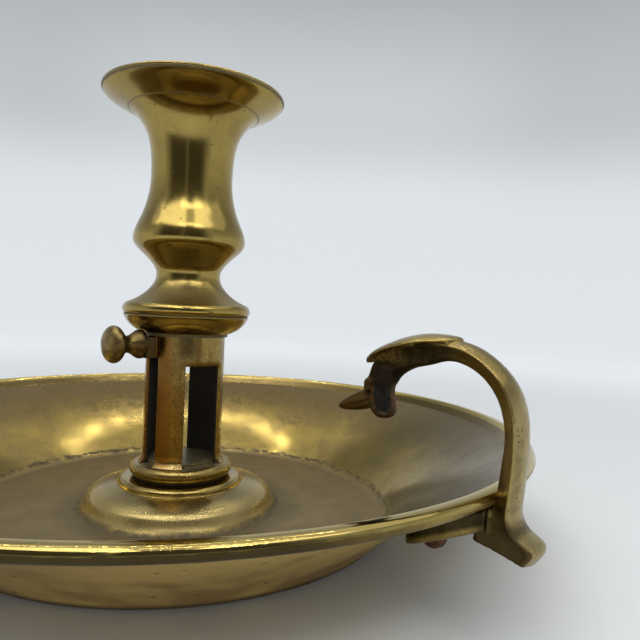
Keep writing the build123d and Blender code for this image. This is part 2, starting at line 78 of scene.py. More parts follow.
def arc(start, middle, end, steps=24):
    """Circular arc through three points: its centre is where the chords' middle lines meet."""
    a, b, c = (np.array(point, float) for point in (start, middle, end))
    lines = np.array([b - a, c - b])
    centre = np.linalg.solve(lines, [lines[0] @ (a + b) / 2, lines[1] @ (b + c) / 2])
    turns = np.unwrap([np.arctan2(*(point - centre)[::-1]) for point in (a, b, c)])
    angles = np.linspace(turns[0], turns[2], steps)
    return centre + np.linalg.norm(a - centre) * np.stack([np.cos(angles), np.sin(angles)], 1)


def flow(rows, steps):
    """Smooth run through the rows of a table: a Catmull-Rom cubic between each pair, in equal steps."""
    rows = np.asarray(rows, float)
    padded = np.vstack([2 * rows[0] - rows[1], rows, 2 * rows[-1] - rows[-2]])
    place = np.linspace(0, len(rows) - 1, steps)
    first = np.minimum(place.astype(int), len(rows) - 2)
    t = (place - first)[:, None]
    before, start, end, after = (padded[first + k] for k in range(4))
    return 0.5 * (
        2 * start
        + (end - before) * t
        + (2 * before - 5 * start + 4 * end - after) * t**2
        + (3 * start - before - 3 * end + after) * t**3
    )


def blur(points, spread, closed):
    """Gaussian average along the first axis, spread in rows; an open run is carried on past its ends by turning
    it about them, so that they stay where they are."""
    reach = int(np.ceil(3 * spread))
    weights = np.exp(-0.5 * (np.arange(-reach, reach + 1) / spread) ** 2)
    weights /= weights.sum()
    if closed:
        longer = np.concatenate([points[-reach:], points, points[:reach]])
    else:
        before, after = 2 * points[0] - points[reach:0:-1], 2 * points[-1] - points[-2:-reach - 2:-1]
        longer = np.concatenate([before, points, after])
    return sum(weight * longer[k:k + len(points)] for k, weight in enumerate(weights))


def worn(parts, wear, longest, closed=True, turn=9.0):
    """One outline from points and runs, with every corner rubbed round: it is cut fine, averaged over the wear
    width, and then given points no farther apart than longest or than a turn of so many degrees."""
    points = np.vstack([np.atleast_2d(np.asarray(part, float)) for part in parts])
    if closed:
        points = np.vstack([points, points[:1]])
    fine = 0.06
    along = np.r_[0, np.cumsum(np.linalg.norm(np.diff(points, axis=0), axis=1))]
    keep = np.r_[True, np.diff(along) > 1e-6]
    places = np.linspace(0, along[-1], int(along[-1] / fine) + 2)
    dense = np.stack([np.interp(places, along[keep], column) for column in points[keep].T], 1)
    dense = dense[:-1] if closed else dense
    dense = blur(dense, wear / fine, closed)
    around = np.vstack([dense, dense[:1]]) if closed else dense
    step = np.diff(around, axis=0)
    bearing = np.unwrap(np.arctan2(step[:, 1], step[:, 0]))
    swing = np.abs(np.gradient(bearing)) / np.radians(turn)
    spent = np.r_[0, np.cumsum(np.linalg.norm(step, axis=1) / longest + swing)]
    count = int(np.ceil(spent[-1]))
    marks = np.linspace(0, spent[-1], count + 1)
    marks = marks[:-1] if closed else marks
    return np.stack([np.interp(marks, spent, column) for column in around.T], 1)


def ease(value, low, high):
    """Smooth step: 0 below low, 1 above high and a cubic between them."""
    share = np.clip((value - low) / (high - low), 0, 1)
    return share * share * (3 - 2 * share)


def squarer(wave, power):
    """A sine or cosine whose size is raised to a power and whose sign stays, which squares an oval's shoulders."""
    return np.sign(wave) * np.abs(wave) ** power


def graded(stops, longest):
    """Places from the first stop up to the last, without it, in steps that meet every stop."""
    return np.concatenate([
        np.linspace(a, b, max(2, int((b - a) / longest)), endpoint=False) for a, b in zip(stops, stops[1:])
    ])


def show(name, data):
    """Object of the data, in the scene."""
    thing = bpy.data.objects.new(name, data)
    bpy.context.scene.collection.objects.link(thing)
    return thing


def smooth_mesh(name, points, faces, look):
    """Mesh of points in metres, shaded smooth."""
    mesh = bpy.data.meshes.new(name)
    faces = faces.tolist() if isinstance(faces, np.ndarray) else faces
    mesh.from_pydata(points.reshape(-1, 3).tolist(), [], faces)
    mesh.validate()
    mesh.shade_smooth()
    mesh.materials.append(look)
    return mesh


def piece(name, points, faces, finish, body, slot, *nodes, sharp=None):
    """Mesh of the points, in millimetres, that rides on a body and stands for the CAD nodes."""
    mesh = smooth_mesh(name, points * MM, faces, finish)
    if sharp:
        mesh.set_sharp_from_angle(angle=np.radians(sharp))
    thing = show(name, mesh)
    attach(thing, body)
    if nodes:
        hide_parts(*nodes)
    return thing


def net(rows, columns, rows_close):
    """Quads of a grid that closes round its columns, and along its rows where asked."""
    row = np.arange(rows if rows_close else rows - 1)[:, None]
    column = np.arange(columns)[None, :]
    after, beside = (row + 1) % rows, (column + 1) % columns
    return np.stack(
        [row * columns + column, row * columns + beside, after * columns + beside, after * columns + column], -1
    ).reshape(-1, 4)


def skin(grid):
    """Closed tube from a grid of rings, with a fan of triangles to the middle of each end ring; a triangle repeats
    no point, and the whole is turned so that its faces look outwards."""
    rows, columns = grid.shape[:2]
    points = np.vstack([grid.reshape(-1, 3), grid[0].mean(0), grid[-1].mean(0)])
    column = np.arange(columns)
    beside = (column + 1) % columns
    last = (rows - 1) * columns
    foot = np.stack([beside, column, np.full(columns, rows * columns)], 1)
    head = np.stack([last + column, last + beside, np.full(columns, rows * columns + 1)], 1)
    quads = net(rows, columns, False)
    triangles = np.vstack([quads[:, [0, 1, 2]], quads[:, [0, 2, 3]], foot, head])
    a, b, c = (points[triangles[:, k]] for k in range(3))
    if np.einsum("ij,ij->i", a, np.cross(b, c)).sum() < 0:
        quads, foot, head = quads[:, ::-1], foot[:, ::-1], head[:, ::-1]
    return points, quads.tolist() + foot.tolist() + head.tolist()


def together(skins):
    """Points and faces of several skins as one mesh."""
    points, faces, count = [], [], 0
    for own_points, own_faces in skins:
        points.append(own_points)
        faces += [[index + count for index in face] for face in own_faces]
        count += len(own_points)
    return np.vstack(points), faces


def upright(flat):
    """Point or direction of the plane y = 0 from its x and z."""
    return np.array([flat[0], 0, flat[1]])


def full_circle(steps):
    """Angles of equal steps once round, in radians."""
    return np.linspace(0, 2 * np.pi, steps, endpoint=False)


def turned_grid(outline, turns):
    """Points of an outline of radius and height swung round +Z in equal steps."""
    angles = full_circle(turns)
    radius, height = outline[:, :1], outline[:, 1:]
    return np.stack([radius * np.cos(angles), radius * np.sin(angles), height + 0 * angles], -1)


def turned_ring(outline, turns):
    """Points and faces of a closed outline swung round +Z, with faces outwards."""
    r, z = outline[:, 0], outline[:, 1]
    if (r * np.roll(z, -1) - np.roll(r, -1) * z).sum() < 0:
        outline = outline[::-1]
    grid = turned_grid(outline, turns)
    return grid, net(len(outline), turns, True)[:, ::-1]


# Shader maths and finishes

def doing(operation):
    """Method that runs a Math node on a value and, where the operation takes two, on another."""
    def method(self, other=None):
        return self.maths(operation, self, other)
    return method


class Value:
    """A socket's value in a finish: arithmetic on it adds Math nodes."""

    def __init__(self, finish, socket):
        self.finish, self.socket = finish, socket

    def maths(self, operation, first, second=None):
        given = {0: first} if second is None else {0: first, 1: second}
        return self.finish.node("ShaderNodeMath", {"operation": operation}, given)

    def __rsub__(self, other):
        return self.maths("SUBTRACT", other, self)

    __add__ = __radd__ = doing("ADD")
    __sub__ = doing("SUBTRACT")
    __mul__ = __rmul__ = doing("MULTIPLY")
    __truediv__ = doing("DIVIDE")
    root, size = doing("SQRT"), doing("ABSOLUTE")
    most, least = doing("MAXIMUM"), doing("MINIMUM")

    def rise(self, low, high):
        """0 below low and 1 above high, or the other way round where low is the greater."""
        falls = low > high
        given = {"Value": self, 1: min(low, high), 2: max(low, high), 3: float(falls), 4: float(not falls)}
        return self.finish.node("ShaderNodeMapRange", {"interpolation_type": "SMOOTHSTEP"}, given)

    def band(self, middle, width):
        """1 at middle, falling smoothly to 0 at width either side."""
        return (self - middle).size().rise(width, 0)


class Finish:
    """A procedural material: nodes that feed one Principled shader. Its colour is built up coat by coat."""

    def __init__(self, name, **fixed):
        self.material = bpy.data.materials.new(name)
        self.material.use_nodes = True
        self.tree = self.material.node_tree
        self.shader = self.tree.nodes["Principled BSDF"]
        for socket, value in fixed.items():
            self.shader.inputs[socket].default_value = value
        place = self.node("ShaderNodeTexCoord", {}, {}, "Object")
        self.place = self.node("ShaderNodeVectorMath", {"operation": "SCALE"}, {0: place, "Scale": 1 / MM})
        self.x, self.y, self.z = (self.node("ShaderNodeSeparateXYZ", {}, {0: self.place}, k) for k in "XYZ")
        self.radius = (self.x * self.x + self.y * self.y).root()
        self.colour = None

    def node(self, kind, settings, given, output=0):
        """Any node: its settings first, then its sockets' values or links; gives the value of one output."""
        node = self.tree.nodes.new(kind)
        for key, setting in settings.items():
            setattr(node, key, setting)
        for key, value in given.items():
            self.feed(node.inputs[key], value)
        return Value(self, node.outputs[output])

    def feed(self, socket, value):
        if isinstance(value, Value):
            self.tree.links.new(value.socket, socket)
        elif isinstance(value, tuple) and len(value) == 3 and socket.type == "RGBA":
            socket.default_value = (*value, 1)
        else:
            socket.default_value = value

    def mix(self, mask, low, high):
        """Colour that goes from low to high as the mask goes from 0 to 1."""
        return self.node("ShaderNodeMix", {"data_type": "RGBA"}, {0: mask, 6: low, 7: high}, 2)

    def coat(self, mask, colour):
        """Lays a colour over the finish's own where the mask is, in full at 1."""
        self.colour = self.mix(mask, self.colour, colour)

    def along(self, degrees):
        """Distance from +Z along a level heading."""
        x, y = heading(degrees)
        return self.x * float(x) + self.y * float(y)

    def noise(self, scale, detail=3.0, roughness=0.55, stretch=(1, 1, 1), bent=0.0, shift=0.0):
        """Cloudy noise from 0 to 1, in cells of 1 / scale millimetres."""
        place = self.node(
            "ShaderNodeMapping", {}, {"Vector": self.place, "Location": (shift,) * 3, "Scale": stretch}
        )
        given = {"Vector": place, "Scale": scale, "Detail": detail, "Roughness": roughness, "Distortion": bent}
        return self.node("ShaderNodeTexNoise", {}, given)

    def rings(self, fineness, detail=2.0):
        """Noise in fine circles round +Z: it changes with radius and height and hardly along the circle."""
        ring = self.node(
            "ShaderNodeCombineXYZ", {}, {0: self.x / self.radius, 1: self.y / self.radius, 2: self.z * fineness}
        )
        given = {"Vector": ring, "W": self.radius * fineness, "Scale": 1.0, "Detail": detail}
        return self.node("ShaderNodeTexNoise", {"noise_dimensions": "4D"}, given)

    def pits(self, scale, reach, share):
        """Small round holes: near the middle of a share of the cells of a Voronoi pattern."""
        given = {"Vector": self.place, "Scale": scale}
        near = self.node("ShaderNodeTexVoronoi", {}, given, "Distance").rise(reach, reach / 3)
        chance = self.node("ShaderNodeTexVoronoi", {}, given, "Color")
        pick = self.node("ShaderNodeSeparateColor", {}, {0: chance}, 0).rise(1 - share, 1 - share + 0.02)
        return near * pick

    def bump(self, height, depth):
        """Normal raised by a height of 0 to 1 times a depth in millimetres."""
        return self.node("ShaderNodeBump", {}, {"Height": height, "Strength": 1.0, "Distance": depth * MM})

    def close(self, roughness=None, normal=None, metallic=None):
        """Feeds the shader and gives the material."""
        fed = {"Base Color": self.colour, "Roughness": roughness, "Normal": normal, "Metallic": metallic}
        for socket, value in fed.items():
            if value is not None:
                self.feed(self.shader.inputs[socket], value)
        return self.material


CLEAN = (0.36, 0.262, 0.072)
OLIVE = (0.25, 0.183, 0.062)
BROWN = (0.135, 0.085, 0.034)
GRIME = (0.055, 0.046, 0.033)
DUST = (0.165, 0.125, 0.068)
COPPER = (0.17, 0.075, 0.040)
COPPER_DARK = (0.065, 0.033, 0.021)
STEEL = (0.30, 0.28, 0.25)
STEEL_DARK = (0.13, 0.10, 0.075)


def brass(name, tone, patina, gloss, turned=True, fleck=0.25, waves=0.3):
    """Old brass: clean metal that clouds of patina dull, with turning marks or fine grain, slow waves and pits. tone
    is the share of brown in the patina, patina how much there is, gloss the clean metal's roughness, fleck the fine
    share of the clouds' change and waves the height of the waves. Gives the finish, its roughness and its height."""
    finish = Finish(name, **{"Metallic": 1.0})
    clouds = finish.noise(0.075, 3, 0.5, bent=0.5)
    flecks = finish.noise(0.9, 4, 0.6, shift=9.0)
    marks = finish.rings(5.0) if turned else finish.noise(2.5, 3, 0.6, shift=4.0)
    dull = (clouds * (1 - fleck) + flecks * fleck + patina - 0.5).rise(0.30, 0.72)
    tarnish = finish.mix(flecks.rise(0.35, 0.75) * tone, OLIVE, BROWN)
    finish.colour = finish.mix(dull, CLEAN, tarnish)
    holes = finish.pits(0.55, 0.20, 0.12)
    finish.coat(holes * 0.8, GRIME)
    rough = gloss + dull * 0.10 + (marks - 0.5) * 0.06 + holes * 0.3
    height = marks * 0.3 + finish.noise(0.12, 2, 0.4, shift=2.0) * waves - holes * 0.6
    return finish, rough, height


def pan_finish():
    """The pan: satin wall with a brown film near the rim, a dusty floor with grime at its two edges, a rubbed rim
    whose bead has painted shade on its lower half, and a pitted olive underside with painted shade beside the
    handle's tongue and a painted highlight round the dome's side."""
    finish, rough, height = brass("pan_brass", 0.35, 0.50, 0.085, fleck=0.12, waves=0.06)
    x, y, z, radius = finish.x, finish.y, finish.z, finish.radius
    speckle = finish.noise(1.3, 4, 0.65, shift=3.0)
    uneven = finish.noise(0.16, 4, 0.6, shift=6.0)
    above = z.rise(0.9, 1.3)
    inside = radius.rise(101.2, 100.2)
    floor = z.rise(3.4, 1.6) * above * radius.rise(29, 31)
    wall = radius.rise(64, 67) * inside
    high = (z + (uneven - 0.5) * 9).rise(9, 23) * wall * above
    finish.coat(high * 0.85, (0.120, 0.084, 0.034))
    film = floor * (0.55 + uneven * 0.5)
    finish.coat(film * 0.85, finish.mix(speckle.rise(0.35, 0.7), (0.135, 0.096, 0.044), DUST))
    dome_dust = radius.rise(28.0, 30.2) * radius.rise(40, 32) * above * (uneven * 0.8 + 0.3).least(1.0)
    finish.coat(dome_dust * 0.85, (0.090, 0.070, 0.038))
    edge = radius + (uneven - 0.5) * 4
    clumps = finish.noise(0.5, 4, 0.7, shift=8.0)
    ring = (edge.band(30.4, 1.7) * 0.9 + edge.band(65.2, 1.2)).least(1.0) * z.rise(5, 3) * above
    grime = ring * clumps.rise(0.36, 0.56)
    spots = clumps.rise(0.62, 0.72) * edge.rise(44, 33) * above * inside * 0.8
    grime = grime.most(spots)
    finish.coat(grime * 0.9, GRIME)
    right = x.rise(50, 75) * wall * above * z.rise(16, 8)
    finish.coat(right * 0.65, (0.105, 0.074, 0.032))
    lip = radius.rise(100.1, 100.6)
    grain = finish.noise(2.4, 2, shift=12.0).rise(0.38, 0.62) * (1 - lip)
    rough = (rough + grain * 0.05 + film * 0.26 + dome_dust * 0.2 + high * 0.1).most(grime * 0.75)
    rubbed = lip * z.rise(28.0, 29.0)
    finish.coat(rubbed * (0.35 + uneven * 0.6), (0.50, 0.385, 0.125))
    # painted shade: the lower half of the rim's bead is darkened, fading out as y rises from -50 to -10
    bead_underside_shade = lip * (z + (uneven - 0.5) * 1.2).rise(28.9, 28.2) * radius.rise(102.6, 103.4)
    finish.coat(bead_underside_shade * y.rise(-10, -50) * 0.97, (0.055, 0.038, 0.016))
    from_centre = radius - float(wall_centre[0])
    above_centre = z - float(wall_centre[1])
    depth = (from_centre * from_centre + above_centre * above_centre).root() - wall_arc
    outside = (depth.rise(0.95, 0.5) * radius.rise(62, 64)).most(z.rise(1.2, 0.9))
    outside = outside * z.rise(26.6, 26.2)
    brown = finish.noise(0.045, 3, 0.5, shift=5.0).rise(0.50, 0.66)
    olive = finish.mix(brown, (0.34, 0.242, 0.078), (0.21, 0.13, 0.045))
    finish.coat(outside * 0.95, olive)
    # painted shade: the underside is darkened where the handle's tongue lies against it
    nook = y.size().rise(10, 6.5) * x.rise(80, 84) * outside
    finish.coat(nook * 0.9, (0.03, 0.022, 0.012))
    left = outside * y.rise(-50, -88)
    finish.coat(left * 0.85, (0.12, 0.066, 0.027))
    base_edge = z.rise(3.2, 0.8) * outside
    finish.coat(base_edge * 0.85, (0.05, 0.032, 0.014))
    spotting = finish.pits(0.24, 0.20, 0.35) * outside
    finish.coat(spotting * 0.85, (0.10, 0.055, 0.028))
    # painted highlight: a paler band round the dome's side
    side = radius.rise(21.0, 26.5) * z.rise(2.2, 3.4) * radius.rise(30.0, 28.8)
    finish.coat(side * 0.5, (0.46, 0.36, 0.155))
    rough = rough - rubbed * 0.05 + bead_underside_shade * 0.3 + spotting * 0.3 + outside * 0.3 + side * 0.1
    finish.shader.inputs["Specular IOR Level"].default_value = 0.1
    metal = 1 - film * 0.35 - grime * 0.6 - dome_dust * 0.3 - outside * 0.6 - side * 0.15
    return finish.close(rough, finish.bump(height, 0.045), metal)


def socket_finish():
    """The socket: polished, with grime in its groove, under its edges and in the cup, and a dulled shoulder."""
    finish, rough, height = brass("socket_brass", 0.30, 0.44, 0.15, fleck=0.15)
    z, radius = finish.z, finish.radius
    soot = finish.noise(1.3, 4, 0.7, shift=3.0)
    nook = z.band(60.3, 0.6) + z.band(54.2, 1.0)
    nook = nook + z.band(122.5, 0.32) * radius.band(19.8, 1.4) * 0.6
    nook = nook + z.band(127.0, 0.55) * radius.rise(26.3, 27.1)
    cup = radius.rise(11.8, 11.0) * z.rise(76, 80)
    grime = (nook.least(1.0) * soot.rise(0.18, 0.5)).most(cup * 0.85)
    shoulder = z.rise(63.0, 64.2) * z.rise(70.5, 66.5)
    finish.coat(shoulder * 0.6, finish.mix(soot, (0.19, 0.155, 0.070), (0.25, 0.205, 0.095)))
    finish.coat(grime * 0.88, GRIME)
    rough = (rough + shoulder * 0.24).most(grime * 0.6)
    return finish.close(rough, finish.bump(height, 0.03), 1 - grime * 0.5)


def stem_finish():
    """The stem: amber brown streaks along the bars, a painted shadow by the ejector's lug, and painted shade that
    makes the inside black.
    """
    finish, rough, height = brass("stem_brass", 0.9, 0.56, 0.16, turned=False)
    z, radius = finish.z, finish.radius
    streak = finish.noise(0.55, 3, 0.5, stretch=(1, 1, 0.05))
    left = finish.along(-127)
    amber = left.rise(2.2, 5.0).most(streak.rise(0.45, 0.70) * 0.7)
    finish.coat(amber * 0.85, (0.22, 0.105, 0.024))
    shade = z.rise(46.5, 50) * left.band(-0.5, 5.0)
    finish.coat(shade * 0.85, (0.055, 0.035, 0.014))
    # painted shadow: the bars are darkened round the ejector's lug
    lug_shadow = radius.rise(12.3, 12.7) * z.rise(40, 44)
    finish.coat(lug_shadow * 0.85, (0.040, 0.027, 0.012))
    lips = radius.rise(12.6, 13.1) * z.rise(16.2, 15.4)
    finish.coat(lips * 0.7, (0.36, 0.28, 0.13))
    # painted shade: the inside of the tube is made nearly black
    inside = radius.rise(11.5, 11.1)
    finish.coat(inside * 0.97, (0.010, 0.008, 0.006))
    foot = z.rise(17.0, 15.4) * finish.noise(1.4, 4, 0.7).rise(0.3, 0.6) * radius.rise(12.6, 12.2)
    finish.coat(foot * 0.8, GRIME)
    rough = (rough + streak * 0.08).most(inside * 0.8).most(foot * 0.6)
    return finish.close(rough, finish.bump(height, 0.035), 1 - inside * 0.8 - foot * 0.3)


def foot_finish():
    """Cast and turned foot ring, and the small parts of the ejector, with painted shade in the gap under the ring
    and a painted shadow on the ejector's lug.
    """
    finish, rough, height = brass("cast_brass", 0.8, 0.55, 0.22)
    z, radius = finish.z, finish.radius
    soot = finish.noise(1.2, 4, 0.7, shift=5.0)
    top = z.rise(14.3, 14.75) * soot.rise(0.3, 0.6) * radius.rise(13.6, 12.6)
    # painted shade: everything below the ring is darkened, in the gap over the dome's collar; grime below joins this
    # shade to the dust on the ring's top
    gap = z.rise(11.3, 10.9)
    # painted shadow: the ejector's lug is darkened near the stem
    lug_shadow = z.rise(40, 42) * radius.rise(17.5, 15.8)
    grime = top.most(gap)
    finish.coat(grime * 0.85, GRIME)
    finish.coat(lug_shadow * 0.85, (0.035, 0.025, 0.012))
    rough = rough.most(grime * 0.65)
    return finish.close(rough, finish.bump(height, 0.04), 1 - grime * 0.5)


def knob_finish():
    """The knob: brown-olive, with darker patches and a painted shadow on its end near the stem."""
    finish, rough, height = brass("knob_brass", 0.9, 0.66, 0.24, turned=False)
    patch = finish.noise(0.35, 4, 0.6, shift=7.0).rise(0.42, 0.6)
    finish.coat(patch * 0.7, BROWN)
    # painted shadow: the knob is darkened near the stem
    finish.coat(finish.radius.rise(19.5, 17.0) * 0.6, (0.05, 0.035, 0.016))
    return finish.close(rough + patch * 0.1, finish.bump(height, 0.04))


def handle_finish():
    """The cast loop: rubbed pale and pitted on its back, brown down its sides, painted shadow on the throat under
    the thumb plate and on the nape, a rusty brow and beak, a blue-black cheek with soft hairs and a painted sheen,
    dark eyes, and painted shade in the crevice over the tongue."""
    finish, rough, height = brass("handle_brass", 0.6, 0.50, 0.26, turned=False)
    x, y, z = finish.x, finish.y, finish.z
    width = y.size()
    grain = finish.noise(0.5, 4, 0.6)
    side = width.rise(3.85, 3.2) * width.rise(1.0, 2.0) * x.rise(93, 97)
    side = side * z.rise(24, 27) * z.rise(45.5, 39.5)
    upper = width.rise(3.9, 3.4) * z.rise(41, 46) * x.rise(88, 94)
    brown = finish.mix(grain.rise(0.3, 0.7), (0.12, 0.072, 0.026), (0.068, 0.040, 0.016))
    finish.coat(side * 0.9, brown)
    finish.coat(upper * 0.3, (0.42, 0.32, 0.125))
    back = x.rise(104.6, 107.0) * width.rise(4.2, 3.6)
    pale = finish.mix(grain.rise(0.35, 0.65), (0.42, 0.34, 0.155), (0.32, 0.26, 0.12))
    finish.coat(back * 0.6, pale)
    holes = finish.pits(0.8, 0.26, 0.35) * (back + z.rise(53, 54)).least(1.0)
    finish.coat(holes * 0.85, (0.085, 0.055, 0.030))
    foot = z.rise(26, 23) * x.rise(100, 103) * width.rise(3.4, 3.9)
    foot = foot + z.rise(25.5, 22.5) * width.rise(3.9, 3.6) * x.rise(110.5, 109.0)
    foot = foot.least(1.0)
    finish.coat(foot * 0.8, finish.mix(grain, (0.040, 0.026, 0.013), (0.070, 0.046, 0.022)))
    head = x.rise(84.5, 79.0) * z.rise(53.0, 50.0)
    blotch = finish.noise(0.9, 4, 0.65, shift=1.0).rise(0.35, 0.62)
    rust = finish.mix(blotch, (0.034, 0.019, 0.009), (0.095, 0.048, 0.018))
    finish.coat(head * 0.92, rust)
    beak = x.rise(71.0, 69.6)
    gape = 42.0 - (71.5 - x) * 0.33
    amber = finish.mix(grain, (0.125, 0.070, 0.016), (0.065, 0.034, 0.010))
    facet = finish.mix((z - gape).rise(-0.25, 0.25), (0.024, 0.017, 0.008), amber)
    finish.coat(beak * head * 0.85, facet)
    low = (z.least(CHEEK[1]) - CHEEK[1]) / CHEEK_TALL
    across = (x - CHEEK[0]) / CHEEK_WIDE
    cheek = head * (low * low + across * across).root().rise(1.06, 0.86) * width.rise(0.7, 1.3)
    hair = finish.noise(1.5, 3, 0.55, stretch=(1, 1, 0.16), shift=2.0)
    # painted highlight: a paler sheen on the upper rear of the cheek
    painted_sheen = z.rise(43.5, 47.5) * x.rise(75.8, 78.2) * z.rise(50.0, 48.0)
    slate = finish.mix(hair.rise(0.35, 0.7), (0.005, 0.0052, 0.005), (0.015, 0.0155, 0.0145))
    slate = finish.mix(painted_sheen * 0.7, slate, (0.022, 0.023, 0.022))
    finish.coat(cheek * z.rise(50.5, 47.0) * 0.95, slate)
    lip = head * z.band(40.85, 0.45) * x.rise(74.0, 75.0)
    finish.coat(lip * 0.6, (0.15, 0.12, 0.07))
    share = (x - 70.6) / 23.8
    plate = share * 6.3 + share * (1 - share) * 12 + 52.45 - width * width * 0.034
    # painted shadow: the throat under the thumb plate is darkened
    throat_shadow = (plate - z).rise(0.7, 1.6) * x.rise(98, 92)
    throat_shadow = throat_shadow * z.rise(47.5, 50.5) * share.rise(0.06, 0.12)
    finish.coat(throat_shadow * 0.92, finish.mix(grain.rise(0.4, 0.65), (0.022, 0.015, 0.008), (0.060, 0.040, 0.018)))
    from_eye, over_eye = x - EYE[0], z - EYE[1]
    eye = (from_eye * from_eye + over_eye * over_eye).root().rise(0.85, 0.45)
    finish.coat(eye * width.rise(1.0, 1.4), (0.012, 0.009, 0.007))
    # painted shadow: the nape under the plate's front is darkened
    nape_shadow = head * z.rise(45.5, 48.5) * x.rise(72.6, 74.2)
    finish.coat(nape_shadow * 0.8, (0.014, 0.010, 0.006))
    crest = x.rise(90, 95) * z.rise(46, 50)
    finish.coat(crest * 0.45, (0.16, 0.115, 0.042))
    finish.shader.inputs["Specular IOR Level"].default_value = 0.15
    gold = z.rise(52.6, 53.6) * x.rise(84, 78)
    freckle = finish.noise(1.6, 4, 0.7, shift=6.0).rise(0.42, 0.58)
    finish.coat(gold * 0.8, finish.mix(freckle, (0.34, 0.24, 0.085), (0.11, 0.07, 0.026)))
    above_tongue = z - (x - 85.34) * 0.4285 - 13.92
    # painted shade: the crevice over the tongue, at the loop's root, is darkened
    crevice_shade = above_tongue.rise(0.8, 2.2) * x.rise(104, 102.5) * z.rise(29, 27.5)
    finish.coat(crevice_shade * 0.9, (0.02, 0.015, 0.009))
    rough = rough + head * 0.14 + throat_shadow * 0.3 + foot * 0.12 + holes * 0.3
    metal = 1 - cheek * 0.4 - head * 0.1 - holes * 0.4
    height = height + hair * cheek * 1.6 - holes * 1.2
    return finish.close(rough, finish.bump(height, 0.06), metal)


def plain_metal(name, scale, roughness, low, colours, change, grain, depth):
    """Metal whose colour and gloss change in clouds, with a fine grain on it."""
    finish = Finish(name, **{"Metallic": 1.0})
    clouds = finish.noise(scale, 4, roughness)
    finish.colour = finish.mix(clouds.rise(low, 1 - low), *colours)
    return finish.close(0.35 + clouds * change, finish.bump(finish.noise(grain, 3), depth))


finishes = {
    "pan_brass": pan_finish(),
    "socket_brass": socket_finish(),
    "stem_brass": stem_finish(),
    "cast_brass": foot_finish(),
    "handle_brass": handle_finish(),
    "copper": plain_metal("copper", 0.9, 0.6, 0.35, (COPPER, COPPER_DARK), 0.2, 1.5, 0.12),
    "steel": plain_metal("steel", 0.6, 0.65, 0.3, (STEEL, STEEL_DARK), 0.25, 2.0, 0.04),
}
knob_brass = knob_finish()
slot_of = {part["node"]: part["material_slot"] for part in frame["record"]["subparts"]}
for node, thing in frame["nodes"].items():
    thing.data.materials.clear()
    thing.data.materials.append(finishes[slot_of[node]])

# Sizes of the pan: rim, wall, base, bead, dome and collar
pan_radius, pan_height = 104.5, 29.6
base_radius = 64.5
sheet = 1.4
bead_height, bead_width = 3.0, 4.0
dome_radius, dome_height = 31.0, 10.4
collar_radius, collar_height = 18.9, 1.9


def wall_normal(radius):
    """Unit direction out of the underside of the pan's bowed wall, at a distance from the pan's axis."""
    across = (wall_centre[0] - radius) / wall_arc
    return np.stack([across, -np.sqrt(1 - across**2)], -1)


def wall_point(radius, depth):
    """Point of the outline that lies depth outside the wall's underside, along its normal."""
    return wall_centre - (wall_arc - depth) * wall_normal(np.asarray(radius, float))


def drip_pan():
    """The pan's closed outline, swung round: underside, half-round bead, bowed wall, floor and dome."""
    nose = bead_height / 2
    nose_radius, bead_radius = pan_radius - nose, pan_radius - bead_width
    side = (dome_radius - 2.8, 4.7)
    inner_side = (side[0] - sheet, side[1] - 0.7)
    collar_side = (collar_radius, dome_height - collar_height)
    inner_collar = (collar_radius - sheet, dome_height - sheet)
    inner_foot = wall_point(66.7, -sheet)
    outline = worn([
        wall_point(np.linspace(base_radius, 102.5, 40), 0),
        (102.5, pan_height - bead_height),
        arc((nose_radius, pan_height - bead_height), (pan_radius, pan_height - nose), (nose_radius, pan_height)),
        (bead_radius + 0.9, pan_height),
        (bead_radius + 0.1, pan_height - 0.9),
        wall_point(np.linspace(99.7, 66.7, 40), -sheet),
        bend(inner_foot, (62.3, sheet), 224, 180),
        (dome_radius + 1.5, sheet),
        bend((dome_radius + 0.4, sheet), side, 174, 110),
        bend(side, collar_side, 110, 164),
        arc(
            (collar_radius, dome_height - 1.6), (collar_radius - 0.45, dome_height - 0.5),
            (collar_radius - 1.6, dome_height),
        ),
        (5.0, dome_height),
        (5.0, dome_height - sheet),
        inner_collar,
        bend(inner_collar, inner_side, -24, -60),
        bend(inner_side, (dome_radius - 0.7, 0), -60, -30),
    ], 0.24, 2.2)
    grid, faces = turned_ring(outline, 288)
    return piece("bowed_pan", grid, faces, finishes["pan_brass"], ROOT, "pan_brass", "drip_pan")


def foot_ring():
    """A rounded ring on a neck, with a spigot inside the stem and a tenon down through the dome."""
    outline = worn([
        (0.01, 2.2), (4.9, 2.2), (4.9, 10.5), (14.3, 10.5), (14.3, 11.0), (14.6, 11.02),
        arc((14.6, 11.02), (15.6, 12.9), (14.1, 14.8)),
        (13.9, 14.78), (13.5, 14.6), (13.1, 14.78), (10.6, 14.8), (10.6, 15.8), (0.01, 15.8),
    ], 0.16, 1.0)
    grid, faces = turned_ring(outline, 160)
    return piece("foot_ring", grid, faces, finishes["cast_brass"], ROOT, "cast_brass", "stem_foot")


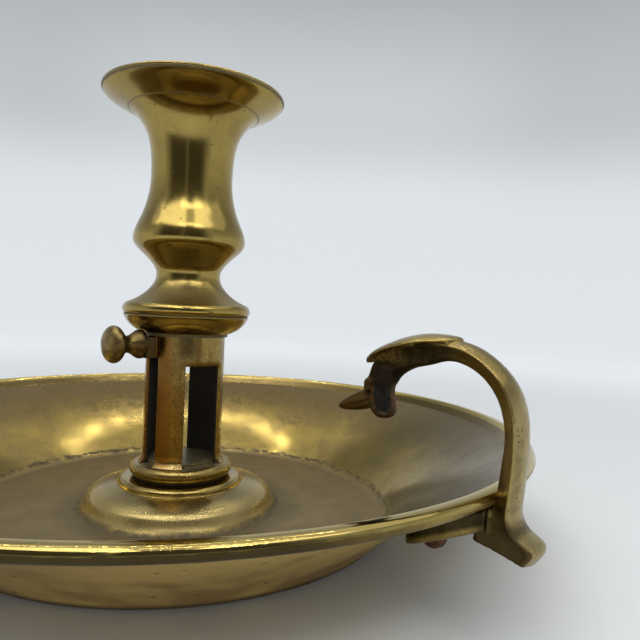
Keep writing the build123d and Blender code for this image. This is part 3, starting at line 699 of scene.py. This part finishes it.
def candle_socket():
    """The turned socket: collar with its groove, neck, bulb, waist and flared mouth, and the cup inside."""
    base = 53.8
    # stations of the outside from the collar to the mouth: radius, height above the base, heading
    stations = [
        (18.0, 10.05, 160), (9.75, 18.9, 90), (12.9, 24.0, 46), (17.1, 29.5, 90), (14.4, 37.6, 110),
        (12.4, 49.0, 90), (13.5, 60.0, 75), (19.6, 68.7, 31),
    ]
    outside = [
        bend((start[0], base + start[1]), (end[0], base + end[1]), start[2], end[2])
        for start, end in zip(stations, stations[1:])
    ]
    outline = worn([
        (12.08, base), (12.8, base), (12.8, base + 0.8),
        arc((12.8, base + 0.8), (16.9, base + 3.0), (19.1, base + 6.2)),
        (18.65, base + 6.5), (19.1, base + 6.8),
        arc((19.1, base + 6.8), (19.5, base + 8.2), (18.0, base + 10.05)),
        *outside,
        bend((19.9, base + 68.75), (27.5, base + 73.3), 33, 50),
        arc((27.5, base + 73.35), (27.6, base + 73.9), (27.2, base + 74.35)),
        bend((27.1, base + 74.38), (11.0, base + 67.2), -153, -109),
        (11.0, base + 56.2), (10.8, base + 56.2), (10.8, base + 24.2), (2.3, base + 24.2),
        (2.3, base + 5.28), (12.08, base + 5.28),
    ], 0.11, 0.8)
    grid, faces = turned_ring(outline, 224)
    return piece("turned_socket", grid, faces, finishes["socket_brass"], ROOT, "socket_brass", "candle_socket")


def pierced_stem():
    """A grid of angles and heights on a cylinder, without the cells that the two windows and the slot take out;
    its foot flares in a small lip, and a wall and rubbed edges are added to it."""
    foot, window_top, collar, top = 14.8, 45.2, 53.8, 59.0
    near_window, far_window, slot = (-36, 26), (135, 191), (252, 282)
    full_turn = near_window[0] + 360
    angles = graded([*near_window, *far_window, *slot, full_turn], 3)
    heights = np.append(graded([foot, 15.2, 15.8, 16.6, window_top, collar, top], 1.6), top)
    lip = 1.3 * np.clip((16.4 - heights) / 1.6, 0, 1)[:, None]
    radius = 11.98 + lip + 0 * angles
    turn = np.radians(angles)
    grid = np.stack([radius * np.cos(turn), radius * np.sin(turn), heights[:, None] + 0 * radius], -1)
    faces = net(len(heights), len(angles), False)
    middle_height = np.repeat((heights[1:] + heights[:-1]) / 2, len(angles))
    middle_angle = np.tile((angles + np.append(angles[1:], full_turn)) / 2, len(heights) - 1)

    def opening(sides, roof):
        return (middle_height < roof) & (middle_angle > sides[0]) & (middle_angle < sides[1])

    cut = opening(near_window, window_top) | opening(far_window, window_top) | opening(slot, collar)
    faces = faces[~cut]
    used, renamed = np.unique(faces, return_inverse=True)
    stem = piece(
        "pierced_stem", grid.reshape(-1, 3)[used], renamed.reshape(-1, 4), finishes["stem_brass"], ROOT,
        "stem_brass", "stem_tube", sharp=40,
    )
    wall = stem.modifiers.new("wall", "SOLIDIFY")
    wall.thickness, wall.offset, wall.use_even_offset = 1.3 * MM, -1, True
    rubbed = stem.modifiers.new("rubbed", "BEVEL")
    rubbed.width, rubbed.segments = 0.22 * MM, 2
    rubbed.limit_method, rubbed.angle_limit = "ANGLE", np.radians(50)
    return stem


def ejector_knob():
    """The knob's outline, turned about its own axis and then laid along the slot's direction."""
    height, direction = 51.4, np.radians(-93)
    outline = worn([
        (0, 8.85), (1.2, 8.85), (1.2, 15.6), (4.3, 15.6), (4.3, 16.5),
        bend((4.3, 16.5), (2.5, 20.3), 109, 90),
        bend((2.5, 20.3), (5.4, 24.2), 90, 90),
        bend((5.4, 24.2), (0, 27.0), 90, 180),
    ], 0.12, 0.5, closed=False)
    ring = turned_grid(outline[1:-1], 96)
    out = np.array([np.cos(direction), np.sin(direction), 0])
    side = np.array([-out[1], out[0], 0])
    grid = ring[..., :1] * side + ring[..., 1:2] * np.array([0, 0, 1]) + ring[..., 2:] * out
    points, faces = skin(grid + np.array([0, 0, height]))
    return piece("turned_knob", points, faces, knob_brass, EJECTOR, "socket_brass", "ejector_knob")


# Finger loop
loop_rows = [
    # x, z of the inner edge, lean, depth, half width of the back and of the inner face
    (99.51, 18.80, -9, 12.60, 4.30, 2.84),
    (100.03, 20.81, -4, 13.41, 4.39, 2.84),
    (101.06, 23.30, -8, 9.09, 4.39, 2.71),
    (102.78, 25.99, -10, 5.76, 4.30, 2.49),
    (103.88, 29.01, 0, 4.77, 4.30, 2.28),
    (104.57, 34.51, 0, 4.50, 4.30, 2.19),
    (104.98, 40.40, 3, 4.19, 4.26, 2.11),
    (104.19, 44.99, 26, 4.50, 4.17, 2.11),
    (102.50, 48.69, 40, 4.50, 4.09, 2.11),
    (99.62, 51.80, 56, 4.32, 4.00, 2.11),
    (96.00, 53.69, 73, 4.50, 3.91, 2.15),
    (91.81, 54.29, 90, 4.68, 3.70, 2.19),
    (87.00, 53.00, 104, 5.70, 4.20, 2.50),
    (83.30, 52.00, 116, 6.60, 4.70, 2.80),
    (80.45, 50.60, 130, 6.90, 4.60, 2.80),
    (78.60, 49.00, 146, 6.65, 3.40, 2.60),
    (77.80, 47.10, 160, 6.90, 2.45, 2.30),
    (77.75, 45.20, 170, 7.75, 2.10, 2.05),
    (78.20, 43.30, 177, 7.20, 2.15, 2.00),
    (78.30, 41.60, 181, 6.40, 2.00, 1.80),
    (77.70, 40.30, 183, 4.60, 1.50, 1.40),
    (76.60, 39.70, 184, 2.80, 0.90, 0.85),
]
PLATE_ROWS = [(0.03, 0.17), (0.20, 0.38), (0.48, 0.50), (0.76, 0.42), (0.93, 0.27)]


def loop_grid(steps=240):
    """Rings of the loop: a crowned back, hollow sides and a narrow inner face, carried through the rows."""
    x, z, lean, depth, back, inner = (column[:, None] for column in flow(loop_rows, steps).T)
    crown, inner_crown = 1.2, 0.4
    hollow = 0.5 * (back / 4.3) ** 2
    across = np.linspace(-1, 1, 18, endpoint=False)[None, :]
    down = np.linspace(0, 1, 16, endpoint=False)[None, :]
    side_depth = depth - crown + (inner_crown - depth + crown) * down
    side_width = back + (inner - back) * down - 4 * hollow * down * (1 - down)
    far = np.concatenate([
        depth - crown * across**2, side_depth, inner_crown * across**2 + 0 * depth, side_depth[:, ::-1],
    ], 1)
    wide = np.concatenate([back * across, side_width, -inner * across, -side_width[:, ::-1]], 1)
    far, wide = blur(far.T, 0.9, True).T, blur(wide.T, 0.9, True).T
    lean = np.radians(lean)
    return np.stack([x + far * np.cos(lean), wide, z + far * np.sin(lean)], -1)


def plate_grid(steps=60):
    """Rings of the thumb plate: a leaf whose width follows the rows, bowed along its length and crowned across."""
    front, rear, low, high, bow = 70.6, 94.4, 53.1, 59.4, 3.0
    rows = flow([(0.0, 0.0)] + PLATE_ROWS + [(1.0, 0.0)], steps)
    share, half = rows[:, :1], np.maximum(rows[:, 1:], 0.012) * 13.2
    around = full_circle(40)
    across, side = np.cos(around), np.sin(around)
    x = front + (rear - front) * share
    rise = low + (high - low) * share + 4 * bow * share * (1 - share)
    thick = (0.60 + 0.30 * np.exp(-(((share - 0.12) / 0.16) ** 2))) * np.minimum(1, half / 1.3)
    z = rise - 0.65 - 1.5 * (across * half / 6.6) ** 2 + thick * squarer(side, 0.55)
    return np.stack([x + 0 * across, half * across, z], -1)


def beak_grid(steps=48):
    """Rings of the beak: ovals that shrink from the root to a blunt tip, drooping, nipped in along the gape so that
    an upper and a lower facet meet there."""
    share = np.linspace(0, 1, steps)[:, None]
    droop, length = np.radians(18), 10.9
    x = 72.4 - length * share * np.cos(droop)
    z = 44.0 - length * share * np.sin(droop)
    close = np.sqrt(np.clip(1 - share**9, 0, 1))
    tall = (2.5 - 1.65 * share**2.0) * close
    half = (1.95 - 0.95 * share**1.3) * close
    around = full_circle(56)
    across, up = np.cos(around), np.sin(around)
    gape = 1 - 0.16 * np.exp(-(((up + 0.28) / 0.13) ** 2)) - 0.10 * np.clip(up, 0, 1)
    return np.stack([
        x + 0 * across, half * gape * squarer(across, 0.75), z + tall * up,
    ], -1)


tongue_tip, tongue_root = wall_point(83.9, 2.6), wall_point(97.0, 4.4)
tongue_slope = (tongue_root - tongue_tip) / np.linalg.norm(tongue_root - tongue_tip)


def tongue_grid(steps=56):
    """Rings of the riveting tongue: its top follows the wall, its underside is straight, and its end is round."""
    start, end, width = 83.9, 103.0, 13.0
    along = start + (end - start) * np.linspace(0, 1, steps)[:, None] ** 1.5
    half = np.sqrt(np.clip((width / 2) ** 2 - np.clip(start + width / 2 - along, 0, None) ** 2, 0.01, None))
    half = half * (1 - 0.34 * ease(along, 95.5, end))
    around = full_circle(64)
    across, side = half * squarer(np.cos(around), 0.30), squarer(np.sin(around), 0.30)
    wall = wall_point(np.hypot(along, across), 0)[..., 1] - 0.1
    under = tongue_tip[1] + (along - tongue_tip[0]) * tongue_slope[1] / tongue_slope[0]
    return np.stack([along + 0 * across, across, (wall + under) / 2 + side * (wall - under) / 2], -1)


def filed(points):
    """How far the casting stands proud, in millimetres: sunken cheeks with a lip under them, small eyes, a knobbly
    brow, and the slow waves of a file all over. Each is a bell or a smooth step in the piece's own x and z."""
    x, y, z = points.T
    side = np.clip((np.abs(y) - 0.9) / 0.8, 0, 1)

    def bell(px, pz, wide, tall):
        return np.exp(-(((x - px) / wide) ** 2) - ((z - pz) / tall) ** 2)

    oval = np.hypot((x - CHEEK[0]) / CHEEK_WIDE, (np.minimum(z, CHEEK[1]) - CHEEK[1]) / CHEEK_TALL)
    cheek = (1 - ease(oval, 0.84, 1.04)) * (1 - ease(z, 46.6, 48.6)) * side
    brow = 0.45 * bell(71.0, 47.6, 0.9, 0.8) + 0.35 * bell(70.4, 46.0, 0.8, 0.7)
    brow = brow + 0.3 * bell(73.0, 47.9, 0.8, 0.6) * side
    eye = side * (0.35 * bell(*EYE, 0.5, 0.45) - 0.18 * bell(*EYE, 0.95, 0.85))
    waves = 0.02 * np.sin(0.7 * x + 0.5 * z) * np.sin(1.1 * y - 0.4 * z)
    scratches = 0.008 * np.sin(2.3 * x - 1.9 * z + 1.7 * y)
    return brow - 0.32 * cheek - eye + waves + scratches


def handle():
    """The cast handle: the loop, thumb plate, beak and tongue are closed forms, run together as one casting by a
    voxel remesh whose points then move along their normals as the file left them."""
    points, faces = together([skin(grid) for grid in (loop_grid(), plate_grid(), beak_grid(), tongue_grid())])
    forms = bpy.data.meshes.new("forms")
    forms.from_pydata((points * MM).tolist(), [], faces)
    pattern = show("pattern", forms)
    joined = pattern.modifiers.new("joined", "REMESH")
    joined.mode, joined.voxel_size = "VOXEL", 0.27 * MM
    eased = pattern.modifiers.new("eased", "SMOOTH")
    eased.factor, eased.iterations = 0.5, 4
    cast = bpy.data.meshes.new_from_object(pattern.evaluated_get(bpy.context.evaluated_depsgraph_get()))
    bpy.data.objects.remove(pattern)
    places, normals = np.empty(len(cast.vertices) * 3), np.empty(len(cast.vertices) * 3)
    cast.vertices.foreach_get("co", places)
    cast.vertices.foreach_get("normal", normals)
    places, normals = places.reshape(-1, 3) / MM, normals.reshape(-1, 3)
    quads = np.empty(len(cast.loops), int)
    cast.loops.foreach_get("vertex_index", quads)
    places = places + normals * filed(places)[:, None]
    return piece(
        "cast_handle", places, quads.reshape(-1, 4), finishes["handle_brass"], ROOT, "handle_brass", "handle",
    )


def rivets():
    """Two domed heads on their shanks and one shank filed flush with the wall: half outlines swung round their own
    axes, hammered a little out of round, and set square to the wall or to the tongue."""
    root_place, tongue_place = 98.0, 88.42
    start, out = wall_point(tongue_place, 0), wall_normal(tongue_place)
    gap = tongue_tip - start
    under = np.array([tongue_slope[1], -tongue_slope[0]])
    deep = (gap @ under) / (out @ under)
    flush = wall_point(tongue_place, -sheet)
    filed_end = worn([(0.0, 0.02), (1.4, 0.0), (1.5, 0.1), (1.5, 5.0), (0.0, 5.0)], 0.05, 0.5, closed=False)
    ring = turned_grid(filed_end[1:-1], 32)
    sideways = np.array([0, 1, 0])
    shank = ring[..., :1] * upright((-out[1], out[0])) + ring[..., 1:2] * sideways + ring[..., 2:] * upright(out)
    parts = [skin(shank + upright(flush))]
    heads = [
        (wall_point(root_place, -sheet - 0.02), -wall_normal(root_place), 1.4),
        (start + out * deep + under * 0.08, under, 2.3),
    ]
    for turn, (place, axis, high) in enumerate(heads):
        dome = arc((2.72, 0.6), (1.9, high * 0.76), (0, high))
        outline = worn(
            [(0.0, -1.3), (1.5, -1.3), (1.5, 0), (2.62, 0.0), (2.8, 0.25), dome], 0.12, 0.35, closed=False
        )
        ring = turned_grid(outline[1:-1], 48)
        flat, height = ring[..., :2], ring[..., 2:]
        bearing = np.arctan2(flat[..., 1:], flat[..., :1]) + 2.1 * turn
        dent = 1 - 0.05 * np.clip(height, 0, 1) * (np.sin(3 * bearing) + 0.6 * np.sin(5 * bearing + turn)) ** 2
        grid = flat[..., :1] * dent * upright((axis[1], -axis[0])) + flat[..., 1:] * dent * sideways
        grid = grid + height * (1 - (1 - dent) * 0.8) * upright(axis)
        parts.append(skin(grid + upright(place)))
    points, faces = together(parts)
    return piece(
        "copper_rivets", points, faces, finishes["copper"], ROOT, "copper", "handle_rivets", sharp=60,
    )


# Room and lights, in metres
FLOOR = (0.62, 0.637, 0.645)
LAMP_STRENGTH = 65.0
ROOF_POWER = 3.1
ROOM_STRENGTH = 0.34
FRONT_POWER = 0.9
HOOD_POWER = 1.1


def backdrop(name, points, faces, look):
    """Mesh of the room, in metres, that isn't part of the object."""
    thing = show(name, smooth_mesh(name, points, faces, look))
    return thing


def sweep():
    """Pale sweep: a floor that turns up into a wall all round, swung from one outline. The wall glows by itself,
    less and less with its height, as the cloth of a lit tent does."""
    reach, turn, top = 0.80, 0.40, 1.3
    angles = np.linspace(0, np.pi / 2, 24)
    outline = np.vstack([
        np.stack([np.linspace(0.001, reach, 12, endpoint=False), np.zeros(12)], 1),
        np.stack([reach + turn * np.sin(angles), turn * (1 - np.cos(angles))], 1),
        [[reach + turn, top]],
    ])
    paper = Finish("paper", **{"Roughness": 0.7, "Specular IOR Level": 0.2})
    away = paper.radius.rise(140, 640)
    height = paper.z * MM
    wall = paper.mix(height.rise(0.30, 0.48), (0.665, 0.70, 0.73), (0.53, 0.56, 0.58))
    wall = paper.mix(height.rise(0.50, 0.95), wall, (0.30, 0.318, 0.332))
    paper.colour = paper.mix(away, FLOOR, (0.10, 0.10, 0.10))
    # painted shade: the upper wall is greyed away from the heading of 131 degrees, towards the room's sides
    beside = paper.along(131) / paper.radius
    wall = paper.mix(beside.rise(0.995, 0.88) * height.rise(0.2, 0.55) * 0.30, wall, (0.25, 0.27, 0.28))
    glow = paper.mix(away, (0, 0, 0), wall)
    paper.feed(paper.shader.inputs["Emission Color"], glow)
    paper.shader.inputs["Emission Strength"].default_value = 1.0
    grid = turned_grid(outline, 96)
    backdrop("sweep", grid, net(len(outline), 96, False), paper.close())


def tent_opening():
    """The tent's dark open side behind the camera: a curved sheet that only reflections see, dark in its middle and
    fading to the cloth's brightness at its two sides, with a bright split between its flaps."""
    near, low, high = 0.42, 0.06, 0.475
    angles = np.radians(np.linspace(-115, 9, 40))
    heights = np.array([low, (low + high) / 2, high])[:, None]
    level = 0 * heights
    grid = np.stack([near * np.cos(angles) + level, near * np.sin(angles) + level, heights + 0 * angles], -1)
    index = np.arange(grid.shape[0] * grid.shape[1]).reshape(grid.shape[:2])
    faces = np.stack([index[:-1, :-1], index[:-1, 1:], index[1:, 1:], index[1:, :-1]], -1).reshape(-1, 4)
    dark = Finish("dark_opening", **{"Roughness": 1.0, "Emission Strength": 1.0})
    shade = dark.mix(dark.noise(0.01, 2), (0.035, 0.034, 0.03), (0.06, 0.058, 0.05))
    turn = dark.along(-53) / (near / MM)
    over = (dark.z - 430).rise(-4, 4) * dark.along(-40 + 90).size().rise(52, 66)
    dark_until, bright_from = (float(np.cos(np.radians(angle))) for angle in (36, 60))
    shade = dark.mix(turn.rise(dark_until, bright_from), shade, (0.50, 0.53, 0.55))
    gap = dark.along(-52 + 90).size().rise(6, 3)
    dark.feed(dark.shader.inputs["Emission Color"], dark.mix(gap, shade, (0.8, 0.85, 0.9)))
    dark.feed(dark.shader.inputs["Alpha"], 1 - over)
    dark.colour = (0.01, 0.01, 0.01)
    sheet_of_dark = backdrop("tent_opening", grid, faces, dark.close())
    sheet_of_dark.visible_camera = sheet_of_dark.visible_shadow = sheet_of_dark.visible_diffuse = False


def lamp_dots():
    """Rows of small square lamps in the tent's roof, square to the camera's line, all in one mesh."""
    roof, spacing, half = 0.60, 0.022, 0.0034
    ahead, across = heading(CAMERA_AHEAD), heading(CAMERA_RIGHT)
    rows = np.array([0.52, 0.50, 0.19, 0.17, -0.15, -0.17])
    along = (np.arange(25) - 12) * spacing
    middles = (rows[:, None, None] * ahead + along[None, :, None] * across).reshape(-1, 1, 2)
    corners = np.array([(-1, -1), (1, -1), (1, 1), (-1, 1)])
    flat = middles + half * (corners[:, :1] * ahead + corners[:, 1:] * across)
    points = np.concatenate([flat, np.full(flat.shape[:2] + (1,), roof)], -1)
    glow = Finish("lamp", **{"Emission Strength": LAMP_STRENGTH})
    glow.shader.inputs["Emission Color"].default_value = (1.0, 0.98, 0.94, 1)
    faces = np.arange(len(flat) * 4).reshape(-1, 4)[:, ::-1]
    glow.colour = (0.5, 0.5, 0.5)
    lamps = backdrop("lamp_dots", points, faces, glow.close())
    lamps.visible_camera = False


def soft_light(name, place, aim, wide, tall, power, turn=0.0):
    """Rectangular light at a place in metres, turned to face its aim and then, in degrees, about +Z."""
    light = bpy.data.lights.new(name, "AREA")
    light.shape, light.size, light.size_y, light.energy = "RECTANGLE", wide, tall, power
    lamp = show(name, light)
    lamp.location = place
    facing = (Vector(aim) - Vector(place)).to_track_quat("-Z", "Y").to_matrix()
    lamp.rotation_euler = (Matrix.Rotation(np.radians(turn), 3, "Z") @ facing).to_euler()
    lamp.visible_camera = False
    return lamp


def studio():
    """The tent's bright roof over the object and a dim pale room round it."""
    soft_light("roof", (0.05, -0.04, 0.64), (0.05, -0.04, 0), 1.3, 1.3, ROOF_POWER)
    front = soft_light("front", (0.25, -0.33, 0.02), (0, 0, 0.02), 0.50, 0.03, FRONT_POWER)
    front.visible_glossy = False
    paper_out = bpy.data.collections.new("front_light_misses")
    paper_out.objects.link(bpy.data.objects["sweep"])
    front.light_linking.receiver_collection = paper_out
    paper_out.collection_objects[0].light_linking.link_state = "EXCLUDE"
    hoods = (("hood_left", 0.37, -0.42, 0.70, 0.65), ("hood_right", 0.50, 0.27, 0.50, 0.40))
    for name, ahead, side, deep, wide in hoods:
        place = ahead * heading(CAMERA_AHEAD) + side * heading(CAMERA_RIGHT)
        power = HOOD_POWER * deep * wide / 0.20
        soft_light(name, (*place, 0.62), (*place, 0), deep, wide, power, turn=CAMERA_AHEAD)
    world = bpy.data.worlds.new("room")
    bpy.context.scene.world = world
    world.use_nodes = True
    world.node_tree.nodes["Background"].inputs["Color"].default_value = (0.93, 0.97, 1.0, 1)
    world.node_tree.nodes["Background"].inputs["Strength"].default_value = ROOM_STRENGTH


def camera():
    """The photograph's camera: low, close, turned a little to the right of the stem and slightly tilted."""
    stand = np.radians(53.0)
    distance, eye_height = 190.3, 64.82
    pitch, yaw, roll = np.radians([1.335, 12.67, -2.518])
    view_width, focal = 640, 591.9
    ahead = np.array([np.sin(yaw) * np.cos(pitch), np.cos(yaw) * np.cos(pitch), -np.sin(pitch)])
    right = np.array([np.cos(yaw), -np.sin(yaw), 0])
    down = np.cross(ahead, right)
    across = np.cos(roll) * right + np.sin(roll) * down
    up = np.sin(roll) * right - np.cos(roll) * down
    turn = np.array([[np.cos(stand), -np.sin(stand), 0], [np.sin(stand), np.cos(stand), 0], [0, 0, 1]])
    axes = turn @ np.stack([across, up, -ahead], 1)
    eye = turn @ np.array([0, -distance, eye_height]) * MM
    lens = bpy.data.cameras.new("eye")
    lens.sensor_width, lens.lens = 36, 36 * focal / view_width
    lens.clip_start = 0.01
    eye_piece = show("eye", lens)
    placed = Matrix(axes.tolist()).to_4x4()
    placed.translation = Vector(eye)
    eye_piece.matrix_world = placed
    bpy.context.scene.camera = eye_piece


drip_pan()
foot_ring()
candle_socket()
pierced_stem()
ejector_knob()
handle()
rivets()
sweep()
tent_opening()
lamp_dots()
studio()
camera()
bpy.context.scene.view_settings.view_transform = "Standard"

bpy.context.view_layer.update()
